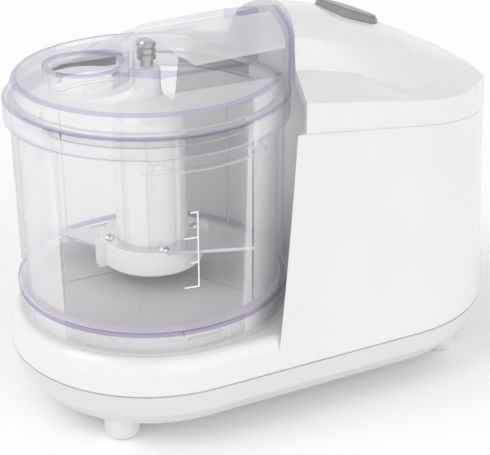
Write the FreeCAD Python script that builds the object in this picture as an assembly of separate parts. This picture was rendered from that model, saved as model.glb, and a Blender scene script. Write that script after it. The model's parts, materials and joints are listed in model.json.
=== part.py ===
import FreeCAD, Part
import math
import os

V = FreeCAD.Vector
os.makedirs("parts", exist_ok=True)

# ---- overall body, mm ------------------------------------------------------
length = 194.0            # base, end to end
half_width = 54.5         # radius of both round ends at the seam
bowl_x = -length / 2 + half_width
tower_x = length / 2 - half_width
seam_z = 25.5             # joint between bottom cover and housing
cover_z = 9.5             # underside of the bottom cover
cover_low_r = half_width - 7.5   # end radius at the underside
cover_mid_r = half_width - 2.2   # end radius partway up
cover_mid_z = 16.0
wall = 2.2
groove = 0.7              # shadow line at each joint between shells
cover_wall = 2.0
deck_z = 38.4             # deck the bowl stands over
deck_edge_r = half_width - 4.3   # where the deck's shoulder starts to fall away
shoulder_drop = 10.0
tower_front_r = 59.5      # tower's hollow front face, about the bowl axis
taper_top_r = half_width - 5.3   # end radius at the reference height
taper_top_z = 118.0
cap_slope = 0.10          # fall of the cap joint per mm of length
cap_joint_x = bowl_x + 30.0

# ---- bowl ------------------------------------------------------------------
bowl_r = 48.6
bowl_wall = 2.0
bowl_rim_z = 117.6
skirt_r = bowl_r + 1.1
skirt_wall = 1.9
bead_r = bowl_r + 1.7
bead_h = 2.4

cap_joint_z = bowl_rim_z - 5.6   # height of the cap joint at its near end

# ---- platform and bayonet --------------------------------------------------
bayonet_room = 2.6        # gap between the platform and the bowl's skirt
platform_r = skirt_r - skirt_wall - bayonet_room
platform_z = 45.8
platform_wall = 2.2
tab_count = 3
tab_r = platform_r + 1.7
tab_low_z = 43.4
tab_angle = 20.0
lug_clear = 0.5
lug_height = 2.2
lug_r = platform_r + lug_clear
bayonet_offset = 30.0
deck_gap = 0.3

# ---- feet and screws -------------------------------------------------------
foot_r = 6.5
foot_inset_x = 28.0
foot_inset_y = 24.5
foot_span_x = length - 2 * foot_inset_x
foot_span_y = 2 * (half_width - foot_inset_y)
foot_stud_r = 2.5
foot_stud_len = 4.0
boss_r = 4.0
boss_circle_r = half_width - 14.5
pillar_top_z = 34.0
screw_r = 1.5
screw_head_r = 2.9
screw_head_h = 2.0
screw_len = 9.0
snug = 0.02               # radial gap between pieces fitted together for good
gland_x = tower_x + 6.0
gland_z = 34.0
gland_seat_y = half_width - 2.1
gland_r = 4.6
gland_flange_r = 6.6
gland_bore_r = 3.0

# ---- bowl's floor, tube and marks ------------------------------------------
bowl_floor_z = platform_z + 0.8
bowl_floor_t = 2.2
tube_r = 7.5
tube_bore_r = 5.5
tube_top_z = bowl_rim_z - 20.6
rib_t = 1.2
rib_depth = 1.0
mark_step = 18.3          # height of a tenth of a litre
mark_first_z = 63.4
mark_angle = -94.0
mark_w = 0.5
skirt_rib_count = 12
skirt_rib_first = -172.0
ledge_below_rim = 11.6    # ledge under the lid's band
ledge_h = 1.4
ledge_proud = 1.5
ledge_mid = -87.0
ledge_span = 54.0
ledge_z = bowl_rim_z - ledge_below_rim

# ---- lid -------------------------------------------------------------------
lid_wall = 1.6
lid_bowl_gap = 0.35
lid_band_t = 1.75
lid_r = bowl_r + lid_bowl_gap + lid_band_t
lid_band_low_z = bowl_rim_z - 6.4
lid_band_top_z = bowl_rim_z + 1.0
lid_shoulder_r = lid_r - 1.5
lid_top_r = lid_r - 4.2
lid_top_z = bowl_rim_z + 7.9
collar_x = bowl_x - 23.0
collar_r = 14.3
collar_wall = 2.0
collar_top_z = lid_top_z + 5.5
tab_angles = (-109.5, -68.0, 70.5, 112.0)
lid_tab_proud = 0.5
lid_tab_span = 6.0
lid_tab_low_z = lid_band_low_z - 1.7
neck_half_w = 25.5
neck_eave_z = lid_top_z + 8.5
neck_knee_y = 10.0
neck_knee_z = lid_top_z + 12.1
neck_ridge_z = lid_top_z + 14.7
neck_rise = 0.045         # rise of the neck's roof per mm towards the tower
neck_start_x = bowl_x - 29.0
neck_front_slope = 0.263
neck_side_slope = 0.344
neck_wall = 1.8
neck_ring_gap = 1.2

# ---- spindle and blade -----------------------------------------------------
spindle_r = 4.0
spindle_low_z = 15.0
spindle_top_z = tube_top_z + 8.5
run_gap = 0.05            # radial running fit of a shaft in its bearing
bearing_r = 6.5
bearing_flange_r = 8.5
bearing_flange_t = 1.5
bearing_low_z = 31.0
bearing_top_z = platform_z
bearing_boss_r = 10.0
dog_af = 10.6
dog_low_z = tube_top_z + 2.0
dog_top_z = dog_low_z + 8.0
hub_r = 13.2
hub_bore_r = 8.5
hub_low_z = 53.0
hub_flare_z = dog_top_z + 3.0
hub_neck_z = dog_top_z + 10.0
hub_neck_r = 4.8
pivot_stud_r = 1.8
blade_tip = -45.0         # the upper blade's tip; the lower one points the other way
rivet_angles = (-98.0, -8.0, 82.0, 172.0)
root_lead = 154.0         # how far each root reaches round the hub ahead of its tip, degrees
root_trail = 24.0
hub_top_z = lid_top_z + 1.0
flute_count = 8
flute_r = 1.6
disc_r = 19.0
disc_t = 9.9
plate_r = disc_r - 0.4      # outer edge of each blade's riveted root
low_blade_z = hub_low_z + 3.0
blade_reach = bowl_r - 8.4
disc_key_w = 4.0
blade_t = 1.2
rivet_r = 1.8
rivet_circle_r = 16.2
pivot_neck_r = 2.4
pivot_ring_r = 3.4
pivot_top_z = neck_knee_z - 1.4

# ---- belt drive ------------------------------------------------------------
motor_x = (bowl_x + tower_front_r + length / 2) / 2 - 1.5    # between hollow front and far end
belt_z = 19.0
belt_h = 5.0
belt_t = 1.5
belt_gap = 0.30
big_pulley_r = 28.0
small_pulley_r = 7.0
pulley_flange = 1.8
pulley_flange_t = 1.0
pulley_hub_r = 8.0

# ---- motor -----------------------------------------------------------------
motor_shaft_r = 2.5
motor_shaft_low_z = 13.5
motor_top_below_rim = 28.6
bracket_top_z = bowl_rim_z - motor_top_below_rim
motor_shaft_top_z = bracket_top_z + 7.0
stack_r = 24.0
stack_low_z = 52.0
stack_h = bracket_top_z - 11.0 - stack_low_z
air_gap = 0.6
rotor_r = 13.5
bracket_t = 3.0
bracket_low_z = 38.0
post_r = 2.5
post_y = 21.0
coil_r = 18.0
coil_bore_r = 15.5
foot_pillar_r = 4.0
foot_pillar_at = 20.0
fan_r = 14.5
fan_z = 42.5
fan_h = 5.0
fan_blades = 8
commutator_r = 7.0

bush_r = 5.0
coil_low_h = 6.0
brush_z = bracket_top_z - 5.0

# ---- cap, button and switches ----------------------------------------------
hood_gap = 0.9            # between the lid's band and the hood's hollow end
hood_r = lid_r + hood_gap
hood_low_z = lid_band_top_z + 1.9
hood_half_w = 24.0
hood_sweep = 9.0          # how far the hood's front falls back to the tower's corner
cap_wall = 2.4
far_end = length - half_width
cap_rows = (
    (30.0, 26.8, 22.0, 20.2, 25.5, 10.0, 5.6),
    (50.0, 26.4, 22.0, 18.6, 27.5, 8.4, 2.9),
    (66.0, 23.4, 24.0, 14.6, 31.0, 5.9, 0.8),
    (82.0, 18.1, 27.0, 8.6, 40.0, -0.2, -1.3),
    (94.0, 13.8, 27.0, 6.8, 41.0, 0.0, -2.9),
    (far_end - 20.5, 2.2, 25.0, 1.2, 41.0, -2.8, -6.0),
    (far_end - 15.5, -2.6, 25.0, -3.0, 41.0, -5.0, -7.0),
    (far_end - 9.5, -8.4, 25.0, -8.5, 41.0, -8.6, -8.7),
    (far_end + 0.5, -9.0, 25.0, -9.1, 41.0, -9.2, -9.3),
)                         # station past the bowl axis; ridge z; crease y, z; foot of the hood y, z; eave z
cap_eave_y = half_width - 4.9
button_x = bowl_x + 80.5
button_tilt = 20.5
button_len = 25.0
button_w = 19.0
button_proud = 2.6
button_gap = 0.4
button_surface_z = bowl_rim_z + 18.0
flange_drop = 5.2         # top of the button's hidden flange, below its own centre
pin_r = 2.5
pin_gap = 0.1
pin_z = bowl_rim_z + 9.2
pin_angle = 6.0
pin_end = tower_front_r   # pin's inner end and the switch's face, from the bowl axis
pin_block_at = pin_end + 2.5
switch_depth = 4.0
switch_top = 3.0          # above the pin's axis
bracket_seat = -16.0      # switch bracket's top face below the button's own centre
switch_post_y = 17.0
stem_low = -10.6
coil_sides = 16           # straight runs in one turn of a spring
wall_rib_angles = (-154.0, -64.0, 26.0, 116.0)
floor_rib_angles = (-180.0, -120.0, -60.0, 0.0, 60.0, 120.0)
pad_angle = -105.0


def box(x0, x1, y0, y1, z0, z1):
    return Part.makeBox(x1 - x0, y1 - y0, z1 - z0, V(x0, y0, z0))


def cyl(r, z0, z1, x=0.0, y=0.0):
    return Part.makeCylinder(r, z1 - z0, V(x, y, z0))


def ring(r_out, r_in, z0, z1, x=0.0, y=0.0):
    return cyl(r_out, z0, z1, x, y).cut(cyl(r_in, z0 - 1, z1 + 1, x, y))


def revolve(points, x=0.0, y=0.0):
    wire = Part.makePolygon([V(r, 0, z) for r, z in points] + [V(points[0][0], 0, points[0][1])])
    solid = Part.Face(wire).revolve(V(0, 0, 0), V(0, 0, 1), 360)
    solid.translate(V(x, y, 0))
    return solid


def prism_z(points, z0, z1):
    wire = Part.makePolygon([V(x, y, z0) for x, y in points] + [V(points[0][0], points[0][1], z0)])
    return Part.Face(wire).extrude(V(0, 0, z1 - z0))


def prism_y(points, y0, y1):
    wire = Part.makePolygon([V(x, y0, z) for x, z in points] + [V(points[0][0], y0, points[0][1])])
    return Part.Face(wire).extrude(V(0, y1 - y0, 0))


def fuse(first, *others):
    out = first
    for other in others:
        out = out.fuse(other)
    return out.removeSplitter()


def cut(first, *others):
    out = first
    for other in others:
        out = out.cut(other)
    return out


def stadium_wire(r, z):
    a = Part.makeLine(V(bowl_x, -r, z), V(tower_x, -r, z))
    b = Part.Arc(V(tower_x, -r, z), V(tower_x + r, 0, z), V(tower_x, r, z)).toShape()
    c = Part.makeLine(V(tower_x, r, z), V(bowl_x, r, z))
    d = Part.Arc(V(bowl_x, r, z), V(bowl_x - r, 0, z), V(bowl_x, -r, z)).toShape()
    return Part.Wire([a, b, c, d])


def stadium(r, z0, z1):
    return Part.Face(stadium_wire(r, z0)).extrude(V(0, 0, z1 - z0))


def stadium_loft(sections, ruled=True):
    return Part.makeLoft([stadium_wire(r, z) for r, z in sections], True, ruled)


def taper_r(z):
    return half_width + (taper_top_r - half_width) * (z - seam_z) / (taper_top_z - seam_z)


def above_joint(gap=0.0):
    x0, x1 = bowl_x - 90, tower_x + 90
    z0 = cap_joint_z - cap_slope * (x0 - cap_joint_x) + gap
    z1 = cap_joint_z - cap_slope * (x1 - cap_joint_x) + gap
    return prism_y([(x0, z0), (x1, z1), (x1, 300), (x0, 300)], -100, 100)


def hexagon(af, z0, z1):
    r = af / math.sqrt(3)
    pts = [(r * math.cos(math.radians(a)), r * math.sin(math.radians(a))) for a in range(0, 360, 60)]
    solid = prism_z(pts, z0, z1)
    solid.translate(V(bowl_x, 0, 0))
    return solid


def foot_centres():
    return [(sx * foot_span_x / 2, sy * foot_span_y / 2) for sx in (-1, 1) for sy in (-1, 1)]


def boss_centres():
    left = bowl_x - boss_circle_r * math.cos(math.radians(19))
    right = tower_x + boss_circle_r * math.cos(math.radians(15))
    y_left = boss_circle_r * math.sin(math.radians(19))
    y_right = boss_circle_r * math.sin(math.radians(15))
    return [(left, -y_left), (left, y_left), (right, -y_right), (right, y_right)]


# ---- base shells -----------------------------------------------------------
def shoulder_cut():
    """Everything outside the rounded shoulder that runs round the deck."""
    top = deck_z
    reach = half_width - deck_edge_r
    steps = 8
    curve = []
    for i in range(steps + 1):
        a = math.radians(90.0 * i / steps)
        curve.append((deck_edge_r + reach * math.sin(a), top - shoulder_drop * (1 - math.cos(a))))
    profile = [(deck_edge_r, top + 5)] + curve + [(half_width + 12, curve[-1][1]), (half_width + 12, top + 5)]
    left = revolve(profile, bowl_x).common(box(-200, bowl_x, -100, 100, 0, 200))
    side = Part.makePolygon([V(bowl_x, y, z) for y, z in profile] + [V(bowl_x, profile[0][0], profile[0][1])])
    side = Part.Face(side).extrude(V(tower_front_r, 0, 0))
    side = side.common(cyl(tower_front_r, 0, 200, bowl_x))
    return left, side, side.mirror(V(0, 0, 0), V(0, 1, 0))


def housing_outer():
    body = stadium_loft([(half_width, seam_z), (taper_top_r - 2 * (half_width - taper_top_r) / 10, 127.0)])
    body = cut(body, cyl(tower_front_r, deck_z, 200, bowl_x))
    return cut(body, *shoulder_cut())


def tower_hollow():
    inner = stadium_loft([(half_width - wall, seam_z - 1), (taper_top_r - wall - 1, 127.0)])
    return cut(inner, cyl(tower_front_r + wall, deck_z - wall, 200, bowl_x))


def main_housing():
    hollow = tower_hollow().cut(box(-200, bowl_x + tower_front_r, -100, 100, 30.0, 200))
    hollow = hollow.fuse(stadium(deck_edge_r - wall - 2, seam_z - 1, deck_z - wall))
    body = housing_outer().fuse(cyl(platform_r, deck_z - 1, platform_z, bowl_x))
    body = body.cut(hollow)
    body = body.cut(cyl(platform_r - platform_wall, seam_z - 1, platform_z - platform_wall, bowl_x))
    body = body.fuse(cyl(bearing_boss_r, bearing_low_z, platform_z, bowl_x))
    for x, y in boss_centres():
        body = body.fuse(screw_pillar(x, y))
    for i in range(tab_count):
        body = body.fuse(sector(tab_r, platform_r - 1, tab_low_z, platform_z, lock_angle(i), tab_angle))
    body = body.cut(cyl(bearing_r + snug, 0, 200, bowl_x))
    body = body.cut(above_joint())
    for x, y in boss_centres():
        body = body.cut(cyl(screw_r + snug, 0, cover_z + cover_wall + screw_len, x, y))
    body = body.cut(gland_seat())
    return body.removeSplitter()


def screw_pillar(x, y):
    low = cover_z + cover_wall
    if x < 0:
        return cyl(boss_r, low, deck_z - wall + 0.5, x, y)
    rib = box(x, x + 20, y - 1.2, y + 1.2, seam_z + 2, pillar_top_z).common(housing_outer())
    return cyl(boss_r, low, pillar_top_z, x, y).fuse(rib)


def gland_seat():
    seat = Part.makeCylinder(gland_flange_r + snug, 20, V(gland_x, gland_seat_y, gland_z), V(0, 1, 0))
    hole = Part.makeCylinder(gland_r + snug, 30, V(gland_x, gland_seat_y - 20, gland_z), V(0, 1, 0))
    return seat.fuse(hole)


def cord_gland():
    flange = Part.makeCylinder(gland_flange_r, 2.0, V(gland_x, gland_seat_y, gland_z), V(0, 1, 0))
    body = Part.makeCylinder(gland_r, 7.0, V(gland_x, gland_seat_y - 6, gland_z), V(0, 1, 0))
    hole = Part.makeCylinder(gland_bore_r, 40, V(gland_x, gland_seat_y - 20, gland_z), V(0, 1, 0))
    return cut(fuse(flange, body), hole)


def lock_angle(i):
    return bayonet_offset + 360.0 * i / tab_count


def sector(r_out, r_in, z0, z1, mid, span):
    a0 = math.radians(mid - span / 2)
    a1 = math.radians(mid + span / 2)
    far = r_out * 2
    wedge = prism_z([(0, 0), (far * math.cos(a0), far * math.sin(a0)),
                     (far * math.cos(math.radians(mid)), far * math.sin(math.radians(mid))),
                     (far * math.cos(a1), far * math.sin(a1))], z0, z1)
    wedge.translate(V(bowl_x, 0, 0))
    return ring(r_out, r_in, z0, z1, bowl_x).common(wedge)


# ---- cover, feet and fasteners ----------------------------------------------
def bottom_cover():
    outer = stadium_loft([(cover_low_r, cover_z), (cover_mid_r, cover_mid_z), (half_width, seam_z - groove)])
    outer = outer.fuse(stadium(half_width - groove, seam_z - groove - 0.5, seam_z))
    t = cover_wall
    inner = stadium_loft([(cover_low_r - t + 1, cover_z + t), (cover_mid_r - t, cover_mid_z + 0.4),
                          (half_width - groove - t, seam_z - 1), (half_width - groove - t, seam_z + 3)])
    body = outer.cut(inner)
    for x, y in motor_pillar_centres():
        body = body.fuse(cyl(foot_pillar_r, cover_z + 1, bracket_low_z, x, y))
        body = body.cut(cyl(screw_r + snug, bracket_low_z - screw_len, bracket_low_z + 1, x, y))
    for x, y in foot_centres():
        body = body.cut(cyl(foot_stud_r + snug, 0, 30, x, y))
    for x, y in boss_centres():
        body = body.cut(cyl(screw_r + snug, 0, 30, x, y))
    for i in range(-2, 3):
        body = body.cut(box(motor_x - 12, motor_x + 12, i * 5 - 1.2, i * 5 + 1.2, 0, 20))
    return body.removeSplitter()


def motor_pillar_centres():
    d = foot_pillar_at
    return [(motor_x + sx * d, sy * d) for sx in (-1, 1) for sy in (-1, 1)]


def foot(x, y):
    r = foot_r
    top = cover_z
    shape = [(0, 0), (r - 2.5, 0), (r - 1.1, 0.5), (r - 0.3, 1.6), (r, 3.2), (r, top),
             (foot_stud_r, top), (foot_stud_r, top + foot_stud_len), (0, top + foot_stud_len)]
    return revolve(shape, x, y)


def screw_up(x, y, seat_z):
    head = cyl(screw_head_r, seat_z - screw_head_h, seat_z, x, y)
    slot = box(x - 2, x + 2, y - 0.4, y + 0.4, seat_z - screw_head_h - 1, seat_z - screw_head_h + 0.7)
    return cut(fuse(head, cyl(screw_r, seat_z - 0.5, seat_z + cover_wall + screw_len - 1, x, y)), slot)


def screw_down(x, y, seat_z, reach):
    head = cyl(screw_head_r, seat_z, seat_z + screw_head_h, x, y)
    slot = box(x - 2, x + 2, y - 0.4, y + 0.4, seat_z + screw_head_h - 0.7, seat_z + screw_head_h + 1)
    return cut(fuse(head, cyl(screw_r, seat_z - reach, seat_z + 0.5, x, y)), slot)


# ---- bowl -------------------------------------------------------------------
def bowl():
    low = deck_z + deck_gap
    floor_top = bowl_floor_z + bowl_floor_t
    inner = bowl_r - bowl_wall
    shape = [(tube_bore_r, bowl_floor_z), (skirt_r - skirt_wall, bowl_floor_z), (skirt_r - skirt_wall, low),
             (skirt_r, low), (skirt_r, bowl_floor_z - 0.5), (bead_r, bowl_floor_z - 0.2),
             (bead_r, bowl_floor_z - 0.2 + bead_h), (bowl_r, bowl_floor_z + 0.3 + bead_h),
             (bowl_r, bowl_rim_z), (inner, bowl_rim_z), (inner, floor_top), (tube_r, floor_top),
             (tube_r, tube_top_z), (tube_bore_r, tube_top_z)]
    body = revolve(shape, bowl_x)
    for angle in wall_rib_angles:
        rib = box(inner - rib_depth, inner + 0.5, -rib_t / 2, rib_t / 2, floor_top - 0.5, bowl_rim_z - 8)
        body = body.fuse(turned(rib, angle))
    for angle in floor_rib_angles:
        rib = box(tube_r - 0.5, inner - 8, -rib_t / 2, rib_t / 2, floor_top - 0.5, floor_top + 0.8)
        body = body.fuse(turned(rib, angle))
    for i in range(tab_count):
        z1 = tab_low_z - lug_clear
        lug = sector(skirt_r - skirt_wall + 0.5, lug_r, z1 - lug_height, z1, lock_angle(i), tab_angle - 4)
        body = body.fuse(lug)
    pad = sector(skirt_r + 0.5, skirt_r - 0.5, low + 1.8, low + 5.6, pad_angle, 12)
    body = body.fuse(pad)
    for i in range(skirt_rib_count):
        rib = box(skirt_r - 0.5, skirt_r + 0.4, -0.5, 0.5, low, bowl_floor_z)
        body = body.fuse(turned(rib, skirt_rib_first + 360.0 * i / skirt_rib_count))
    reach = bowl_r + ledge_proud
    inside = bowl_r - 0.5
    for mid in (ledge_mid, ledge_mid + 180):
        body = body.fuse(sector(reach, inside, ledge_z, ledge_z + ledge_h, mid, ledge_span))
        stop = sector(reach, inside, ledge_z, lid_band_low_z - 0.5, mid - ledge_span / 2, 2.0)
        body = body.fuse(stop)
    return body.removeSplitter()


def turned(shape, angle):
    shape.rotate(V(0, 0, 0), V(0, 0, 1), angle)
    shape.translate(V(bowl_x, 0, 0))
    return shape


def bowl_marks():
    """Printed graduation strokes on the bowl's outside."""
    r = bowl_r + 0.12
    turn = math.degrees(mark_w / bowl_r)
    top = mark_first_z + 1.5 * mark_step + mark_w
    marks = [sector(r, bowl_r, mark_first_z, top, mark_angle, turn)]
    for i in range(4):
        z = mark_first_z + i * mark_step / 2
        span = 6.0 if i % 2 == 0 else 3.0
        marks.append(sector(r, bowl_r, z, z + mark_w, mark_angle - span / 2, span))
    return fuse(*marks)


# ---- lid --------------------------------------------------------------------
def under_plane(z_at_axis, slope_x, slope_y):
    """Solid below the plane z = z_at_axis + slope_x * (x - bowl_x) + slope_y * y."""
    wires = []
    for y in (-70.0, 70.0):
        x0, x1 = bowl_x - 70, bowl_x + 70
        top0 = z_at_axis - 70 * slope_x + slope_y * y
        top1 = z_at_axis + 70 * slope_x + slope_y * y
        pts = [V(x0, y, 20), V(x1, y, 20), V(x1, y, top1), V(x0, y, top0)]
        wires.append(Part.makePolygon(pts + [pts[0]]))
    return Part.makeLoft(wires, True, True)


def neck(inset, low_z):
    half = neck_half_w - inset
    drop = inset * 1.1
    wires = []
    for x in (-60.0, 60.0):
        up = neck_rise * x - drop
        pts = [(-half, low_z), (-half, neck_eave_z + up), (-neck_knee_y, neck_knee_z + up),
               (0, neck_ridge_z + up), (neck_knee_y, neck_knee_z + up), (half, neck_eave_z + up),
               (half, low_z)]
        pts = [V(bowl_x + x, y, z) for y, z in pts]
        wires.append(Part.makePolygon(pts + [pts[0]]))
    body = Part.makeLoft(wires, True, True)
    start = neck_start_x - bowl_x
    for side in (-1, 1):
        z0 = lid_top_z - 1.5 - neck_front_slope * start + neck_side_slope * neck_half_w - drop
        body = body.common(under_plane(z0, neck_front_slope, side * neck_side_slope))
    body = body.common(cyl(lid_r - 0.5 - inset, 0, 200, bowl_x))
    reach = collar_r + neck_ring_gap + inset
    behind = box(bowl_x - 70, collar_x, -reach, reach, 0, 200)
    return cut(body, cyl(reach, 0, 200, collar_x), behind, box(bowl_x - 70, neck_start_x, -70, 70, 0, 200))


def lid():
    skirt_in = bowl_r + lid_bowl_gap
    spigot = bowl_r - bowl_wall - lid_bowl_gap
    ledge = bowl_rim_z + lid_bowl_gap
    outer = [(0, lid_band_low_z), (lid_r, lid_band_low_z), (lid_r, lid_band_top_z - 0.4),
             (lid_r - 0.4, lid_band_top_z), (lid_shoulder_r, lid_band_top_z + 0.4),
             (lid_top_r + 0.8, lid_top_z - 0.8), (lid_top_r, lid_top_z), (0, lid_top_z)]
    inner = [(0, lid_band_low_z - 5), (skirt_in, lid_band_low_z - 5), (skirt_in, ledge),
             (spigot, ledge), (spigot, lid_band_low_z + 2.5), (spigot - 1.4, lid_band_low_z + 2.5),
             (spigot - 1.4, ledge), (spigot + 0.2, ledge + 1.6), (lid_top_r - 1.2, lid_top_z - lid_wall),
             (0, lid_top_z - lid_wall)]
    body = revolve(outer, bowl_x).fuse(neck(0.0, lid_band_top_z))
    body = body.cut(revolve(inner, bowl_x)).cut(neck(neck_wall, lid_band_top_z + 1.2))
    collar = cyl(collar_r, lid_top_z - lid_wall, collar_top_z, collar_x)
    body = cut(body.fuse(collar), cyl(collar_r - collar_wall, 100, 200, collar_x))
    reach = lid_r + lid_tab_proud
    for angle in tab_angles:
        tab = sector(reach, skirt_in + 0.3, lid_tab_low_z, lid_band_top_z - 1.0, angle, lid_tab_span)
        body = body.fuse(tab)
    return body.removeSplitter()


# ---- spindle and blade ------------------------------------------------------
def spindle_shaft():
    groove = ring(10, spindle_r - 0.6, spindle_low_z + 0.8, spindle_low_z + 1.6, bowl_x)
    return cyl(spindle_r, spindle_low_z, spindle_top_z, bowl_x).cut(groove)


def retaining_clip():
    clip = ring(6.0, spindle_r - 0.6 + snug, spindle_low_z + 0.8, spindle_low_z + 1.6, bowl_x)
    return clip.cut(box(bowl_x, bowl_x + 10, -2, 2, 0, 40))


def pulley(r, x, bore_r, hub_r_out, hub_low, hub_top):
    low = belt_z - belt_gap
    top = belt_z + belt_h + belt_gap
    rim = r + belt_gap + belt_t + pulley_flange - 1.0
    body = fuse(cyl(r, low, top, x), cyl(rim, low - pulley_flange_t, low, x),
                cyl(rim, top, top + pulley_flange_t, x), cyl(hub_r_out, hub_low, hub_top, x))
    return body.cut(cyl(bore_r + snug, 0, 60, x))


def big_pulley():
    body = pulley(big_pulley_r, bowl_x, spindle_r, pulley_hub_r, spindle_low_z + 1.6,
                  bearing_low_z - bearing_flange_t - 0.3)
    for i in range(5):
        a = math.radians(72 * i)
        body = body.cut(cyl(5.5, 0, 60, bowl_x + 18 * math.cos(a), 18 * math.sin(a)))
    return body


def belt_outline(off):
    big = big_pulley_r + off
    small = small_pulley_r + off
    phi = math.asin((big - small) / (motor_x - bowl_x))
    s, c = math.sin(phi), math.cos(phi)
    z = belt_z
    p1 = V(bowl_x + big * s, big * c, z)
    p2 = V(motor_x + small * s, small * c, z)
    p3 = V(motor_x + small * s, -small * c, z)
    p4 = V(bowl_x + big * s, -big * c, z)
    edges = [Part.makeLine(p1, p2), Part.Arc(p2, V(motor_x + small, 0, z), p3).toShape(),
             Part.makeLine(p3, p4), Part.Arc(p4, V(bowl_x - big, 0, z), p1).toShape()]
    return Part.Face(Part.Wire(edges)).extrude(V(0, 0, belt_h))


def drive_belt():
    return belt_outline(belt_gap + belt_t).cut(belt_outline(belt_gap))


def flanged_bush(bore, r, flange_r, flange_z0, flange_z1, z0, z1, x):
    body = fuse(cyl(r, z0, z1, x), cyl(flange_r, flange_z0, flange_z1, x))
    return body.cut(cyl(bore + run_gap, 0, 200, x))


def drive_dog():
    return hexagon(dog_af, dog_low_z, dog_top_z).cut(cyl(spindle_r + snug, 0, spindle_top_z, bowl_x))


def blade_hub():
    body = revolve([(0, hub_low_z), (hub_r, hub_low_z),
                    (hub_r, hub_flare_z - 4), (hub_r - 0.6, hub_flare_z - 1),
                    (hub_r - 2.6, hub_flare_z + 1.5), (hub_neck_r + 1.2, hub_neck_z - 1.5),
                    (hub_neck_r, hub_neck_z + 1.5), (hub_neck_r, hub_top_z), (0, hub_top_z)], bowl_x)
    disc = revolve([(0, hub_low_z), (disc_r - 1, hub_low_z), (disc_r, hub_low_z + 1),
                    (disc_r, hub_low_z + disc_t - 0.4), (disc_r - 0.4, hub_low_z + disc_t),
                    (0, hub_low_z + disc_t)], bowl_x)
    body = body.fuse(disc)
    for turn in (-4.0, 176.0):
        key = box(disc_r - 1, disc_r + 2.6, -disc_key_w / 2, disc_key_w / 2, hub_low_z, hub_low_z + disc_t)
        body = body.fuse(turned(key, turn))
    for i in range(flute_count):
        a = math.radians(360.0 * i / flute_count + 22.5)
        x = bowl_x + (hub_r + 0.5) * math.cos(a)
        y = (hub_r + 0.5) * math.sin(a)
        body = body.cut(cyl(flute_r, hub_low_z + disc_t, hub_flare_z - 5, x, y))
    top = hub_low_z + disc_t
    body = cut(body, blade_blank(blade_tip, top - blade_t - snug, top + 1, snug),
               blade_blank(blade_tip + 180, low_blade_z - snug, low_blade_z + blade_t + snug, snug))
    for x, y in rivet_centres():
        body = body.cut(cyl(rivet_r * 0.6 + snug, low_blade_z - 0.5, top + 1, x, y))
    body = body.cut(cyl(hub_bore_r, 0, dog_low_z, bowl_x))
    body = body.cut(hexagon(dog_af + 0.1, dog_low_z - 1, dog_top_z))
    body = body.cut(cyl(pivot_stud_r + snug, hub_top_z - 6, hub_top_z + 1, bowl_x))
    return body.removeSplitter()


def rivet_centres():
    out = []
    for angle in rivet_angles:
        a = math.radians(angle)
        out.append((bowl_x + rivet_circle_r * math.cos(a), rivet_circle_r * math.sin(a)))
    return out


def blade_blank(tip, z0, z1, grow=0.0):
    """Root ring segment round the hub with a straight-edged point that leaves it as a tangent."""
    r = plate_r + grow
    root = sector(r, hub_r + snug - grow, z0, z1, tip + (root_trail - root_lead) / 2, root_trail + root_lead)
    lead = math.acos(r / blade_reach)
    trail = math.radians(root_trail)
    inner = hub_r + 1.0
    half = 0.7 + grow
    point = prism_z([(r * math.cos(lead), -r * math.sin(lead)), (blade_reach, -half), (blade_reach, half),
                     (r * math.cos(trail), r * math.sin(trail)),
                     (inner * math.cos(trail), inner * math.sin(trail)), (inner, 0),
                     (inner * math.cos(lead), -inner * math.sin(lead))], z0, z1)
    body = root.fuse(turned(point, tip)).removeSplitter()
    return body.cut(cyl(hub_r + snug - grow, 0, 200, bowl_x))


def blade(tip, z0):
    body = blade_blank(tip, z0, z0 + blade_t)
    for x, y in rivet_centres():
        body = body.cut(cyl(rivet_r * 0.6 + snug, 0, 200, x, y))
    return body


def rivet(x, y):
    top = hub_low_z + disc_t
    dome = Part.makeSphere(rivet_r * 1.25, V(x, y, top - rivet_r * 0.45)).common(cyl(5, top, top + 5, x, y))
    return fuse(dome, cyl(rivet_r * 0.6, low_blade_z - 0.5, top + 0.2, x, y))


def top_pivot():
    top = pivot_top_z
    low = hub_top_z
    r, n = pivot_ring_r, pivot_neck_r
    shape = [(0, low - 5.5), (pivot_stud_r, low - 5.5), (pivot_stud_r, low),
             (n, low), (n, top - 7.2), (r, top - 6.7),
             (r, top - 5.0), (n + 0.3, top - 4.6), (r, top - 4.2), (r, top - 2.8), (n + 0.3, top - 2.4),
             (r, top - 2.0), (r, top - 0.6), (r - 0.6, top), (0, top)]
    return revolve(shape, bowl_x)


# ---- motor ------------------------------------------------------------------
def motor_plate(z0):
    plate = box(motor_x - 26, motor_x + 26, -26, 26, z0, z0 + bracket_t)
    return plate


def lower_bracket():
    z1 = bracket_low_z + bracket_t
    body = motor_plate(bracket_low_z)
    for s in (-1, 1):
        body = body.fuse(cyl(post_r, z1 - 1, stack_low_z, motor_x, s * post_y))
    body = body.cut(cyl(bush_r + snug, 0, 200, motor_x))
    for x, y in motor_pillar_centres():
        body = body.cut(cyl(screw_r + snug, 0, 200, x, y))
    return body.removeSplitter()


def upper_bracket():
    body = box(motor_x - 9, motor_x + 9, -26, 26, bracket_top_z, bracket_top_z + bracket_t)
    body = body.fuse(box(motor_x - 18, motor_x + 18, -9, 9, bracket_top_z, bracket_top_z + bracket_t))
    for s in (-1, 1):
        body = body.fuse(cyl(post_r, stack_low_z + stack_h, bracket_top_z + 1, motor_x, s * post_y))
    return body.cut(cyl(bush_r + snug, 0, 200, motor_x)).removeSplitter()


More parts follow.
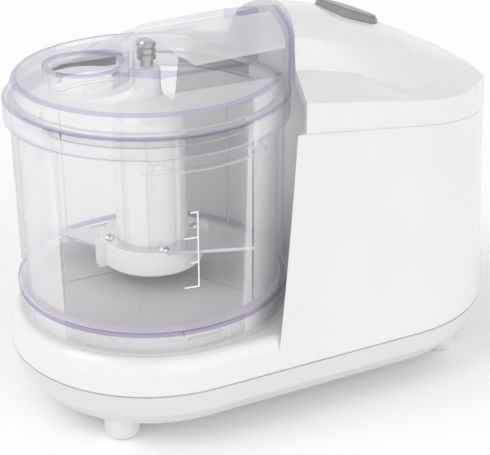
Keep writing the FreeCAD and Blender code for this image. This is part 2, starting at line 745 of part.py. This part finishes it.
def stator_core():
    body = ring(stack_r, rotor_r + air_gap, stack_low_z, stack_low_z + stack_h, motor_x)
    for s in (-1, 1):
        flat = box(motor_x + s * (stack_r - 2) - 3, motor_x + s * (stack_r - 2) + 3, -30, 30, 0, 200)
        flat = flat.common(box(motor_x + s * 30 - 8, motor_x + s * 30 + 8, -30, 30, 0, 200))
        body = body.cut(flat)
    return body


def field_windings():
    solids = []
    for z0 in (stack_low_z - coil_low_h, stack_low_z + stack_h):
        h = coil_low_h
        coil = ring(coil_r, coil_bore_r, z0, z0 + h, motor_x)
        for s in (-1, 1):
            side = box(motor_x - 30, motor_x + 30, min(s * 3, s * 30), max(s * 3, s * 30), 0, 200)
            solids.append(coil.common(side))
    return Part.makeCompound(solids)


def brush_holders():
    out = []
    for s in (-1, 1):
        x0, x1 = sorted((motor_x + s * 9.5, motor_x + s * 14.5))
        block = box(x0, x1, -4, 4, brush_z - 2.4, bracket_top_z)
        y, z = 2 + snug, 1.5 + snug
        out.append(block.cut(box(x0 - 5, x1 + 5, -y, y, brush_z - z, brush_z + z)))
    return Part.makeCompound(out)


def brushes():
    out = []
    for s in (-1, 1):
        x0, x1 = sorted((motor_x + s * (commutator_r + 0.3), motor_x + s * 14.0))
        out.append(box(x0, x1, -2, 2, brush_z - 1.5, brush_z + 1.5))
    return Part.makeCompound(out)


def rotor_windings():
    mid = stack_low_z + stack_h
    low = revolve([(motor_shaft_r + snug, stack_low_z - 3.2), (9, stack_low_z - 3.2),
                   (11.5, stack_low_z - 1.2),
                   (11.5, stack_low_z), (motor_shaft_r + snug, stack_low_z)], motor_x)
    top = revolve([(motor_shaft_r + snug, mid), (11.5, mid), (11.5, mid + 1.2), (9, mid + 3.0),
                   (motor_shaft_r + snug, mid + 3.0)], motor_x)
    return Part.makeCompound([low, top])


def cooling_fan():
    body = fuse(cyl(fan_r, fan_z, fan_z + 1.0, motor_x), cyl(5.0, fan_z, fan_z + fan_h, motor_x))
    for i in range(fan_blades):
        vane = box(4.0, fan_r - 0.5, -0.5, 0.5, fan_z + 0.5, fan_z + fan_h)
        vane.rotate(V(0, 0, 0), V(0, 0, 1), 360.0 * i / fan_blades)
        vane.translate(V(motor_x, 0, 0))
        body = body.fuse(vane)
    return body.removeSplitter().cut(cyl(motor_shaft_r + snug, 0, 200, motor_x))


# ---- cap --------------------------------------------------------------------
def cap_section(inset, low_z):
    """Solid under the cap's skin, lofted through the rows above; inset draws it in by the wall."""
    wires = []
    down = inset * 1.1
    for station, ridge_z, crease_y, crease_z, foot_y, foot_z, eave_z in cap_rows:
        x = bowl_x + station
        side = [V(x, cap_eave_y - inset, low_z), V(x, cap_eave_y - inset, bowl_rim_z + eave_z - down),
                V(x, foot_y - inset, bowl_rim_z + foot_z - down),
                V(x, crease_y - inset * 0.7, bowl_rim_z + crease_z - down)]
        far = [V(q.x, -q.y, q.z) for q in side]
        ridge = V(x, 0, bowl_rim_z + ridge_z - down)
        edges = [Part.makeLine(side[i], side[i + 1]) for i in range(3)]
        edges.append(Part.Arc(side[3], ridge, far[3]).toShape())
        edges += [Part.makeLine(far[i + 1], far[i]) for i in (2, 1, 0)]
        edges.append(Part.makeLine(far[0], side[0]))
        wires.append(Part.Wire(edges))
    return Part.makeLoft(wires, True, True)


def cap_plan(inset):
    body = stadium_loft([(taper_r(90) - inset, 90.0), (taper_r(150) - inset, 150.0)])
    low = hood_low_z + inset
    body = body.cut(cyl(tower_front_r + inset, 0, low, bowl_x))
    body = body.cut(cyl(hood_r + inset, low - 1, 200, bowl_x))
    for s in (-1, 1):
        x = bowl_x + math.sqrt(hood_r ** 2 - hood_half_w ** 2)
        y = s * (hood_half_w - inset)
        k = inset * 1.1
        out = s * (cap_eave_y - hood_half_w)
        wedge = prism_z([(x + k, y), (x - hood_sweep + k, y + out), (x - 3 * hood_sweep + k, y + 3 * out),
                         (x - 90, y + 3 * out), (x - 90, y)], 0, 200)
        body = body.cut(wedge)
    return body


def local(shape):
    """Move a shape drawn about the button's own centre into place on the cap."""
    shape.rotate(V(0, 0, 0), V(0, 1, 0), button_tilt)
    shape.translate(V(button_x, 0, button_surface_z))
    return shape


def pill(length_x, width, z0, z1):
    r = width / 2
    d = length_x / 2 - r
    return fuse(box(-d, d, -r, r, z0, z1), cyl(r, z0, z1, -d), cyl(r, z0, z1, d))


def interlock_frame(shape):
    """Turn a shape drawn along +X from the bowl axis to the interlock's bearing."""
    shape.rotate(V(0, 0, 0), V(0, 0, 1), pin_angle)
    shape.translate(V(bowl_x, 0, 0))
    return shape


def top_cap():
    outer = cap_section(0.0, 85.0).common(cap_plan(0.0)).common(above_joint())
    slot = above_joint().cut(above_joint(groove))
    slot = slot.cut(stadium_loft([(taper_r(90) - groove, 90.0), (taper_r(150) - groove, 150.0)]))
    outer = outer.cut(slot)
    inner = cap_section(cap_wall, 80.0).common(cap_plan(cap_wall))
    body = outer.cut(inner)
    posts = []
    for s in (-1, 1):
        posts.append(local(cyl(2.6, bracket_seat, 3, 0, s * switch_post_y)).common(outer))
    hanger = box(pin_block_at, pin_block_at + 1.4, -3, 3, pin_z + switch_top, bowl_rim_z + 40)
    posts.append(interlock_frame(hanger).common(outer))
    body = fuse(body, *posts)
    body = body.cut(local(pill(button_len + 2 * button_gap, button_w + 2 * button_gap, -30 + 22, 30)))
    for s in (-1, 1):
        body = body.cut(local(cyl(1.2 + snug, bracket_seat - 1, bracket_seat + 6, 0, s * switch_post_y)))
    hole = Part.makeCylinder(pin_r + pin_gap, 20, V(hood_r - 5, 0, pin_z), V(1, 0, 0))
    return body.cut(interlock_frame(hole)).removeSplitter()


def pulse_button():
    low = -flange_drop
    body = pill(button_len, button_w, low - 1.0, button_proud - 0.8)
    body = fuse(body, pill(button_len - 1.6, button_w - 1.6, 0, button_proud),
                pill(button_len + 3, button_w + 3, low - 2.0, low), cyl(3.0, stem_low, low - 1))
    return local(body)


def coil_spring(r, wire_r, z0, z1, turns):
    height = z1 - z0 - 2 * wire_r
    count = turns * coil_sides
    pts = []
    for i in range(count + 1):
        a = 2 * math.pi * i / coil_sides
        pts.append(V(r * math.cos(a), r * math.sin(a), z0 + wire_r + height * i / count))
    section = Part.Wire([Part.Circle(pts[0], pts[1] - pts[0], wire_r).toShape()])
    return Part.makePolygon(pts).makePipeShell([section], True, False, 1)


def button_spring():
    top = -flange_drop - 2.0
    return local(coil_spring(5.4, 0.4, bracket_seat, top, 5))


def switch_bracket():
    plate = box(-8, 8, -switch_post_y - 4, switch_post_y + 4, bracket_seat - 1.5, bracket_seat)
    plate = plate.cut(cyl(3.6, bracket_seat - 3, bracket_seat + 1))
    for s in (-1, 1):
        plate = plate.cut(cyl(1.2 + snug, bracket_seat - 3, bracket_seat + 1, 0, s * switch_post_y))
    return local(plate)


def bracket_screws():
    out = []
    for s in (-1, 1):
        z = bracket_seat - 1.5
        y = s * switch_post_y
        out.append(local(fuse(cyl(2.3, z - 1.5, z, 0, y), cyl(1.2, z - 1, z + 6, 0, y))))
    return Part.makeCompound(out)


def power_switch():
    z = bracket_seat - 1.5
    return local(fuse(box(-5, 5, -10, 10, z - 10, z), cyl(1.6, z - 1, bracket_seat + 2.4)))


def interlock_pin():
    body = Part.makeCylinder(pin_r, pin_end - hood_r - 0.1, V(hood_r + 0.1, 0, pin_z), V(1, 0, 0))
    collar_at = hood_r + cap_wall + 0.6
    collar = Part.makeCylinder(pin_r + 1.2, 1.2, V(collar_at, 0, pin_z), V(1, 0, 0))
    return interlock_frame(fuse(body, collar))


def interlock_spring():
    start = hood_r + cap_wall + 0.6 + 1.2
    coil = coil_spring(3.2, 0.35, 0, pin_block_at - start, 3)
    coil.rotate(V(0, 0, 0), V(0, 1, 0), 90)
    coil.translate(V(start, 0, pin_z))
    return interlock_frame(coil)


def interlock_switch():
    body = box(pin_block_at, pin_block_at + switch_depth, -8, 8, pin_z - 6, pin_z + switch_top)
    return interlock_frame(body)


# ---- write every piece --------------------------------------------------------
def write(name, shape):
    shape.exportStep("parts/" + name + ".step")
    print(name, round(shape.Volume, 1), len(shape.Solids), shape.isValid())


write("main_housing", main_housing())
write("bottom_cover", bottom_cover())
write("top_cap", top_cap())
foot_names = ("foot_bowl_front", "foot_bowl_back", "foot_tower_front", "foot_tower_back")
for name, (x, y) in zip(foot_names, foot_centres()):
    write(name, foot(x, y))
write("cover_screws", Part.makeCompound([screw_up(x, y, cover_z) for x, y in boss_centres()]))
write("cord_gland", cord_gland())
bearing_start = bearing_low_z - bearing_flange_t
write("spindle_bearing", flanged_bush(spindle_r, bearing_r, bearing_flange_r, bearing_start,
                                      bearing_low_z, bearing_start, bearing_top_z, bowl_x))
write("drive_belt", drive_belt())
write("lower_bracket", lower_bracket())
write("upper_bracket", upper_bracket())
bracket_seat_z = bracket_low_z + bracket_t
write("motor_screws", Part.makeCompound([screw_down(x, y, bracket_seat_z, bracket_t + screw_len - 1)
                                         for x, y in motor_pillar_centres()]))
write("lower_bush", flanged_bush(motor_shaft_r, bush_r, bush_r + 1.5, bracket_low_z - 1.0, bracket_low_z,
                                 bracket_low_z - 1.0, bracket_low_z + bracket_t, motor_x))
bush_seat_z = bracket_top_z + bracket_t
write("upper_bush", flanged_bush(motor_shaft_r, bush_r, bush_r + 1.5, bush_seat_z, bush_seat_z + 1.0,
                                 bracket_top_z, bush_seat_z + 1.0, motor_x))
write("stator_core", stator_core())
write("field_windings", field_windings())
write("brush_holders", brush_holders())
write("brushes", brushes())
write("motor_shaft", cyl(motor_shaft_r, motor_shaft_low_z, motor_shaft_top_z, motor_x))
write("rotor_core", ring(rotor_r, motor_shaft_r + snug, stack_low_z, stack_low_z + stack_h, motor_x))
write("rotor_windings", rotor_windings())
write("commutator", ring(commutator_r, motor_shaft_r + snug, brush_z - 2.5, brush_z + 2.5, motor_x))
write("cooling_fan", cooling_fan())
write("small_pulley", pulley(small_pulley_r, motor_x, motor_shaft_r, 5.0, belt_z - 2.5, belt_z + belt_h + 5))
write("bowl", bowl())
write("bowl_marks", bowl_marks())
write("lid", lid())
write("spindle_shaft", spindle_shaft())
write("retaining_clip", retaining_clip())
write("large_pulley", big_pulley())
write("drive_dog", drive_dog())
write("blade_hub", blade_hub())
write("lower_blade", blade(blade_tip + 180, low_blade_z))
write("upper_blade", blade(blade_tip, hub_low_z + disc_t - blade_t))
write("blade_rivets", Part.makeCompound([rivet(x, y) for x, y in rivet_centres()]))
write("top_pivot", top_pivot())
write("pulse_button", pulse_button())
write("button_spring", button_spring())
write("switch_bracket", switch_bracket())
write("bracket_screws", bracket_screws())
write("power_switch", power_switch())
write("interlock_pin", interlock_pin())
write("interlock_spring", interlock_spring())
write("interlock_switch", interlock_switch())
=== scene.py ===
"""Food processor: looks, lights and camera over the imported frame. Metres, +Z up."""
import json
import math

import bpy
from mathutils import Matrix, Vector


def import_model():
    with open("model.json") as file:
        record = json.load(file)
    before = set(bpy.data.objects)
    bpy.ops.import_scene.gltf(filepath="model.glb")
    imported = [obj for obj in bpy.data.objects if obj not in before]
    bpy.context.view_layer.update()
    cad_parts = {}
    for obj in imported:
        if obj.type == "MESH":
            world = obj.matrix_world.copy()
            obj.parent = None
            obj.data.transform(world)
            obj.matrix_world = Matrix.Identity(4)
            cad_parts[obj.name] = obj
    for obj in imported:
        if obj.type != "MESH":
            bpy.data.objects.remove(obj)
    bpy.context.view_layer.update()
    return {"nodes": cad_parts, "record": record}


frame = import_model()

NODES = frame["nodes"]

BOWL_X = -0.0425           # the bowl's axis
# Moulded rims that show a violet tint: (low radius, high radius, low z, high z), about that axis.
BOWL_RIMS = [(0.0470, 0.0510, 0.0463, 0.0484),      # ring round the bowl's floor
             (0.0, 0.0600, 0.1170, 0.1177)]         # the bowl's top edge
LID_RIMS = [(0.0498, 0.0512, 0.1112, 0.1116),       # skirt's lower edge
            (0.0490, 0.0512, 0.1183, 0.1189),       # bead round the skirt
            (0.0450, 0.0475, 0.1247, 0.1256),       # edge of the top
            (0.0075, 0.0380, 0.1302, 0.1311),       # pour collar's top
            (0.0494, 0.0503, 0.1198, 0.1440)]       # neck's end beside the tower
BOWL_RIM_COLOUR = (0.60, 0.53, 0.70)
LID_RIM_COLOUR = (0.78, 0.74, 0.88)

PLASTIC_IOR = 1.49
CLEAR_IOR = 1.45
EDGE_IOR = 1.25            # softer than the plastic's own, so that only steep walls turn white
CLEAR_HAZE = 0.065         # share of light that a clear wall scatters when seen face on
CLEAR_EDGE = 0.6           # the same for a wall seen along its surface

CAMERA_PLACE = (-0.1958, -0.3799, 0.2565)
CAMERA_PITCH = 25.21       # degrees below level
CAMERA_YAW = 63.21         # degrees from +X towards +Y
CAMERA_LENS = 89.3
FLOOR_REACH = 6.0


# ---- small node helpers -----------------------------------------------------
def new_material(name):
    mat = bpy.data.materials.new(name)
    mat.use_nodes = True
    tree = mat.node_tree
    return mat, tree, tree.nodes["Principled BSDF"]


def add(tree, kind):
    return tree.nodes.new(kind)


def noise(tree, scale, detail):
    coord = add(tree, "ShaderNodeTexCoord")
    tex = add(tree, "ShaderNodeTexNoise")
    tex.inputs["Scale"].default_value = scale
    tex.inputs["Detail"].default_value = detail
    tex.inputs["Roughness"].default_value = 0.55
    tree.links.new(coord.outputs["Object"], tex.inputs["Vector"])
    return tex


def ramp(tree, source, stops):
    node = add(tree, "ShaderNodeValToRGB")
    elements = node.color_ramp.elements
    while len(elements) < len(stops):
        elements.new(0.5)
    for element, (pos, colour) in zip(elements, stops):
        element.position = pos
        element.color = (*colour, 1.0)
    tree.links.new(source, node.inputs["Fac"])
    return node


def remap(tree, source, low, high):
    node = add(tree, "ShaderNodeMapRange")
    node.inputs["To Min"].default_value = low
    node.inputs["To Max"].default_value = high
    tree.links.new(source, node.inputs["Value"])
    return node


def spread_tones(tree, source, colour, spread, low, high):
    """Colour that drifts a little either side of the given one."""
    dark = [max(0.0, c - spread) for c in colour]
    light = [min(1.0, c + spread) for c in colour]
    return ramp(tree, source, [(low, dark), (high, light)])


def bump(tree, shader, source, strength, distance):
    node = add(tree, "ShaderNodeBump")
    node.inputs["Strength"].default_value = strength
    node.inputs["Distance"].default_value = distance
    tree.links.new(source, node.inputs["Height"])
    tree.links.new(node.outputs["Normal"], shader.inputs["Normal"])


# ---- materials --------------------------------------------------------------
def moulded(name, colour, rough, spread=0.012, coat=0.0):
    """Moulded plastic: faint tone drift, uneven gloss and a fine surface grain."""
    mat, tree, bsdf = new_material(name)
    drift = noise(tree, 14.0, 2.0)
    tone = spread_tones(tree, drift.outputs["Fac"], colour, spread, 0.35, 0.65)
    tree.links.new(tone.outputs["Color"], bsdf.inputs["Base Color"])
    smear = noise(tree, 55.0, 4.0)
    gloss = remap(tree, smear.outputs["Fac"], rough * 0.8, rough * 1.25)
    tree.links.new(gloss.outputs["Result"], bsdf.inputs["Roughness"])
    fine = noise(tree, 2200.0, 2.0)
    bump(tree, bsdf, fine.outputs["Fac"], 0.25, 0.00002)
    bsdf.inputs["Coat Weight"].default_value = coat
    bsdf.inputs["Coat Roughness"].default_value = 0.05
    bsdf.inputs["IOR"].default_value = PLASTIC_IOR
    return mat


def metal(name, colour, rough, streak=(900.0, 40.0, 900.0), spread=0.04):
    """Metal with streaks from grinding or rolling."""
    mat, tree, bsdf = new_material(name)
    coord = add(tree, "ShaderNodeTexCoord")
    mapping = add(tree, "ShaderNodeMapping")
    mapping.inputs["Scale"].default_value = streak
    tree.links.new(coord.outputs["Object"], mapping.inputs["Vector"])
    tex = add(tree, "ShaderNodeTexNoise")
    tex.inputs["Scale"].default_value = 1.0
    tex.inputs["Detail"].default_value = 4.0
    tree.links.new(mapping.outputs["Vector"], tex.inputs["Vector"])
    tone = spread_tones(tree, tex.outputs["Fac"], colour, spread, 0.3, 0.7)
    tree.links.new(tone.outputs["Color"], bsdf.inputs["Base Color"])
    gloss = remap(tree, tex.outputs["Fac"], rough * 0.7, rough * 1.4)
    tree.links.new(gloss.outputs["Result"], bsdf.inputs["Roughness"])
    bump(tree, bsdf, tex.outputs["Fac"], 0.2, 0.00001)
    bsdf.inputs["Metallic"].default_value = 1.0
    return mat


def within(tree, value, low, high):
    """1 where value lies between low and high, else 0."""
    node = add(tree, "ShaderNodeMath")
    node.operation = "COMPARE"
    tree.links.new(value, node.inputs[0])
    node.inputs[1].default_value = (low + high) / 2
    node.inputs[2].default_value = (high - low) / 2
    return node.outputs["Value"]


def combine(tree, operation, first, second):
    node = add(tree, "ShaderNodeMath")
    node.operation = operation
    node.use_clamp = True
    tree.links.new(first, node.inputs[0])
    tree.links.new(second, node.inputs[1])
    return node.outputs["Value"]


def rim_mask(tree, rims):
    """1 on the moulded rims, 0 elsewhere."""
    coord = add(tree, "ShaderNodeTexCoord")
    place = add(tree, "ShaderNodeSeparateXYZ")
    tree.links.new(coord.outputs["Object"], place.inputs["Vector"])
    shift = add(tree, "ShaderNodeMath")
    shift.operation = "SUBTRACT"
    tree.links.new(place.outputs["X"], shift.inputs[0])
    shift.inputs[1].default_value = BOWL_X
    plan = add(tree, "ShaderNodeCombineXYZ")
    tree.links.new(shift.outputs["Value"], plan.inputs["X"])
    tree.links.new(place.outputs["Y"], plan.inputs["Y"])
    length = add(tree, "ShaderNodeVectorMath")
    length.operation = "LENGTH"
    tree.links.new(plan.outputs["Vector"], length.inputs[0])
    mask = None
    for low_r, high_r, low_z, high_z in rims:
        ring = within(tree, length.outputs["Value"], low_r, high_r)
        band = within(tree, place.outputs["Z"], low_z, high_z)
        rim = combine(tree, "MULTIPLY", ring, band)
        mask = rim if mask is None else combine(tree, "MAXIMUM", mask, rim)
    return mask


def wall_colour(tree, rims, rim_colour):
    """Tint of the light let through: nearly none face on, violet along the surface and on rims."""
    facing = add(tree, "ShaderNodeLayerWeight")
    facing.inputs["Blend"].default_value = 0.5
    flow = noise(tree, 26.0, 2.0)
    uneven = remap(tree, flow.outputs["Fac"], 0.85, 1.15)
    grazing = combine(tree, "MULTIPLY", facing.outputs["Facing"], uneven.outputs["Result"])
    wall = ramp(tree, grazing, [(0.0, (0.988, 0.987, 0.988)), (0.70, (0.975, 0.972, 0.977)),
                                (0.93, (0.84, 0.825, 0.855)), (1.0, (0.62, 0.58, 0.70))])
    tint = add(tree, "ShaderNodeMix")
    tint.data_type = "RGBA"
    plain, tinted = [socket for socket in tint.inputs if socket.type == "RGBA"]
    tree.links.new(rim_mask(tree, rims), tint.inputs[0])
    tree.links.new(wall.outputs["Color"], plain)
    tinted.default_value = (*rim_colour, 1.0)
    return [socket for socket in tint.outputs if socket.type == "RGBA"][0]


def clear(name, rims, rim_colour):
    """Clear plastic drawn as thin walls: light goes straight through, with a little haze and gloss."""
    mat, tree, bsdf = new_material(name)
    passing = add(tree, "ShaderNodeBsdfTransparent")
    tree.links.new(wall_colour(tree, rims, rim_colour), passing.inputs["Color"])
    smear = noise(tree, 70.0, 3.0)
    gloss = remap(tree, smear.outputs["Fac"], 0.02, 0.09)
    tree.links.new(gloss.outputs["Result"], bsdf.inputs["Roughness"])
    bsdf.inputs["Base Color"].default_value = (0.96, 0.955, 0.97, 1.0)
    bsdf.inputs["IOR"].default_value = CLEAR_IOR
    bsdf.inputs["Specular IOR Level"].default_value = 0.6
    fresnel = add(tree, "ShaderNodeFresnel")
    fresnel.inputs["IOR"].default_value = EDGE_IOR
    share = remap(tree, fresnel.outputs["Fac"], CLEAR_HAZE, CLEAR_EDGE)
    mix = add(tree, "ShaderNodeMixShader")
    tree.links.new(share.outputs["Result"], mix.inputs["Fac"])
    tree.links.new(passing.outputs["BSDF"], mix.inputs[1])
    tree.links.new(bsdf.outputs["BSDF"], mix.inputs[2])
    tree.links.new(mix.outputs["Shader"], tree.nodes["Material Output"].inputs["Surface"])
    return mat


MATERIALS = {
    "white_gloss": moulded("white_gloss", (0.765, 0.765, 0.768), 0.22, coat=0.25),
    "white_lower": moulded("white_lower", (0.69, 0.69, 0.695), 0.30, coat=0.15),
    "foot_white": moulded("foot_white", (0.70, 0.70, 0.70), 0.42),
    "steel_screw": metal("steel_screw", (0.62, 0.62, 0.64), 0.30),
    "black_rubber": moulded("black_rubber", (0.025, 0.025, 0.025), 0.65, spread=0.008),
    "sintered_bronze": metal("sintered_bronze", (0.62, 0.42, 0.22), 0.45, streak=(1500.0, 1500.0, 1500.0)),
    "belt_rubber": moulded("belt_rubber", (0.02, 0.02, 0.02), 0.7, spread=0.006),
    "bracket_alloy": metal("bracket_alloy", (0.70, 0.71, 0.72), 0.35),
    "lamination_steel": metal("lamination_steel", (0.34, 0.35, 0.37), 0.42, streak=(60.0, 60.0, 2600.0)),
    "copper_wire": metal("copper_wire", (0.70, 0.30, 0.14), 0.35, streak=(200.0, 200.0, 3000.0), spread=0.1),
    "dark_plastic": moulded("dark_plastic", (0.035, 0.035, 0.038), 0.5, spread=0.01),
    "carbon": moulded("carbon", (0.02, 0.02, 0.02), 0.6, spread=0.01),
    "shaft_steel": metal("shaft_steel", (0.66, 0.67, 0.68), 0.2, streak=(300.0, 300.0, 2000.0)),
    "copper_bar": metal("copper_bar", (0.75, 0.40, 0.22), 0.25, streak=(300.0, 300.0, 3000.0)),
    "clear_plastic": clear("clear_plastic", BOWL_RIMS, BOWL_RIM_COLOUR),
    "mark_print": moulded("mark_print", (0.85, 0.85, 0.87), 0.4),
    "dog_plastic": moulded("dog_plastic", (0.78, 0.78, 0.78), 0.45),
    "hub_white": moulded("hub_white", (0.84, 0.84, 0.84), 0.25, coat=0.2),
    "blade_steel": metal("blade_steel", (0.74, 0.75, 0.77), 0.16, streak=(700.0, 60.0, 700.0)),
    "rivet_steel": metal("rivet_steel", (0.72, 0.72, 0.73), 0.2),
    "pivot_chrome": metal("pivot_chrome", (0.60, 0.60, 0.60), 0.18, streak=(300.0, 300.0, 2500.0)),
    "button_grey": moulded("button_grey", (0.27, 0.27, 0.27), 0.38),
    "spring_steel": metal("spring_steel", (0.55, 0.56, 0.58), 0.25),
}
LID_PLASTIC = clear("lid_plastic", LID_RIMS, LID_RIM_COLOUR)

for entry in frame["record"]["subparts"]:
    obj = NODES[entry["node"]]
    material = LID_PLASTIC if entry["node"] == "lid" else MATERIALS[entry["material_slot"]]
    if not obj.material_slots:
        obj.data.materials.append(material)
    for material_slot in obj.material_slots:
        material_slot.material = material


# ---- floor, light and camera ------------------------------------------------
def floor():
    mesh = bpy.data.meshes.new("floor")
    reach = FLOOR_REACH
    corners = [(-reach, -reach, 0), (reach, -reach, 0), (reach, reach, 0), (-reach, reach, 0)]
    mesh.from_pydata(corners, [], [(0, 1, 2, 3)])
    obj = bpy.data.objects.new("floor", mesh)
    bpy.context.scene.collection.objects.link(obj)
    mat, _, bsdf = new_material("floor_white")
    bsdf.inputs["Base Color"].default_value = (0.97, 0.97, 0.97, 1.0)
    bsdf.inputs["Roughness"].default_value = 0.6
    bsdf.inputs["Specular IOR Level"].default_value = 0.2
    bsdf.inputs["Emission Color"].default_value = (1.0, 1.0, 1.0, 1.0)
    bsdf.inputs["Emission Strength"].default_value = 0.05
    mesh.materials.append(mat)


def sun(name, azimuth, elevation, spread, strength):
    """Soft parallel light from the given bearing and height, in degrees."""
    data = bpy.data.lights.new(name, "SUN")
    data.energy = strength
    data.angle = math.radians(spread)
    obj = bpy.data.objects.new(name, data)
    bpy.context.scene.collection.objects.link(obj)
    a, e = math.radians(azimuth), math.radians(elevation)
    towards = Vector((math.cos(e) * math.cos(a), math.cos(e) * math.sin(a), math.sin(e)))
    obj.rotation_euler = (-towards).to_track_quat("-Z", "Y").to_euler()


def world(colour, strength):
    """Even studio surround, darker overhead so that the top faces read greyer than the sides."""
    w = bpy.data.worlds.new("studio")
    bpy.context.scene.world = w
    w.use_nodes = True
    tree = w.node_tree
    back = tree.nodes["Background"]
    coord = add(tree, "ShaderNodeTexCoord")
    axes = add(tree, "ShaderNodeSeparateXYZ")
    tree.links.new(coord.outputs["Generated"], axes.inputs["Vector"])
    tone = ramp(tree, axes.outputs["Z"], [(0.0, colour), (0.35, colour), (0.75, (0.42, 0.42, 0.42)),
                                          (1.0, (0.32, 0.32, 0.32))])
    tree.links.new(tone.outputs["Color"], back.inputs["Color"])
    back.inputs["Strength"].default_value = strength


def camera():
    data = bpy.data.cameras.new("camera")
    obj = bpy.data.objects.new("camera", data)
    bpy.context.scene.collection.objects.link(obj)
    data.sensor_width = 36.0
    data.lens = CAMERA_LENS
    data.clip_start = 0.02
    data.dof.use_dof = False
    pitch, yaw = math.radians(CAMERA_PITCH), math.radians(CAMERA_YAW)
    forward = Vector((math.cos(pitch) * math.cos(yaw), math.cos(pitch) * math.sin(yaw), -math.sin(pitch)))
    obj.location = CAMERA_PLACE
    obj.rotation_euler = forward.to_track_quat("-Z", "Y").to_euler()
    bpy.context.scene.camera = obj


bpy.context.scene.view_settings.view_transform = "Standard"
floor()
world((1.0, 1.0, 1.0), 1.12)
sun("key", 178, 48, 40, 0.95)
sun("fill", -80, 28, 60, 0.62)
camera()
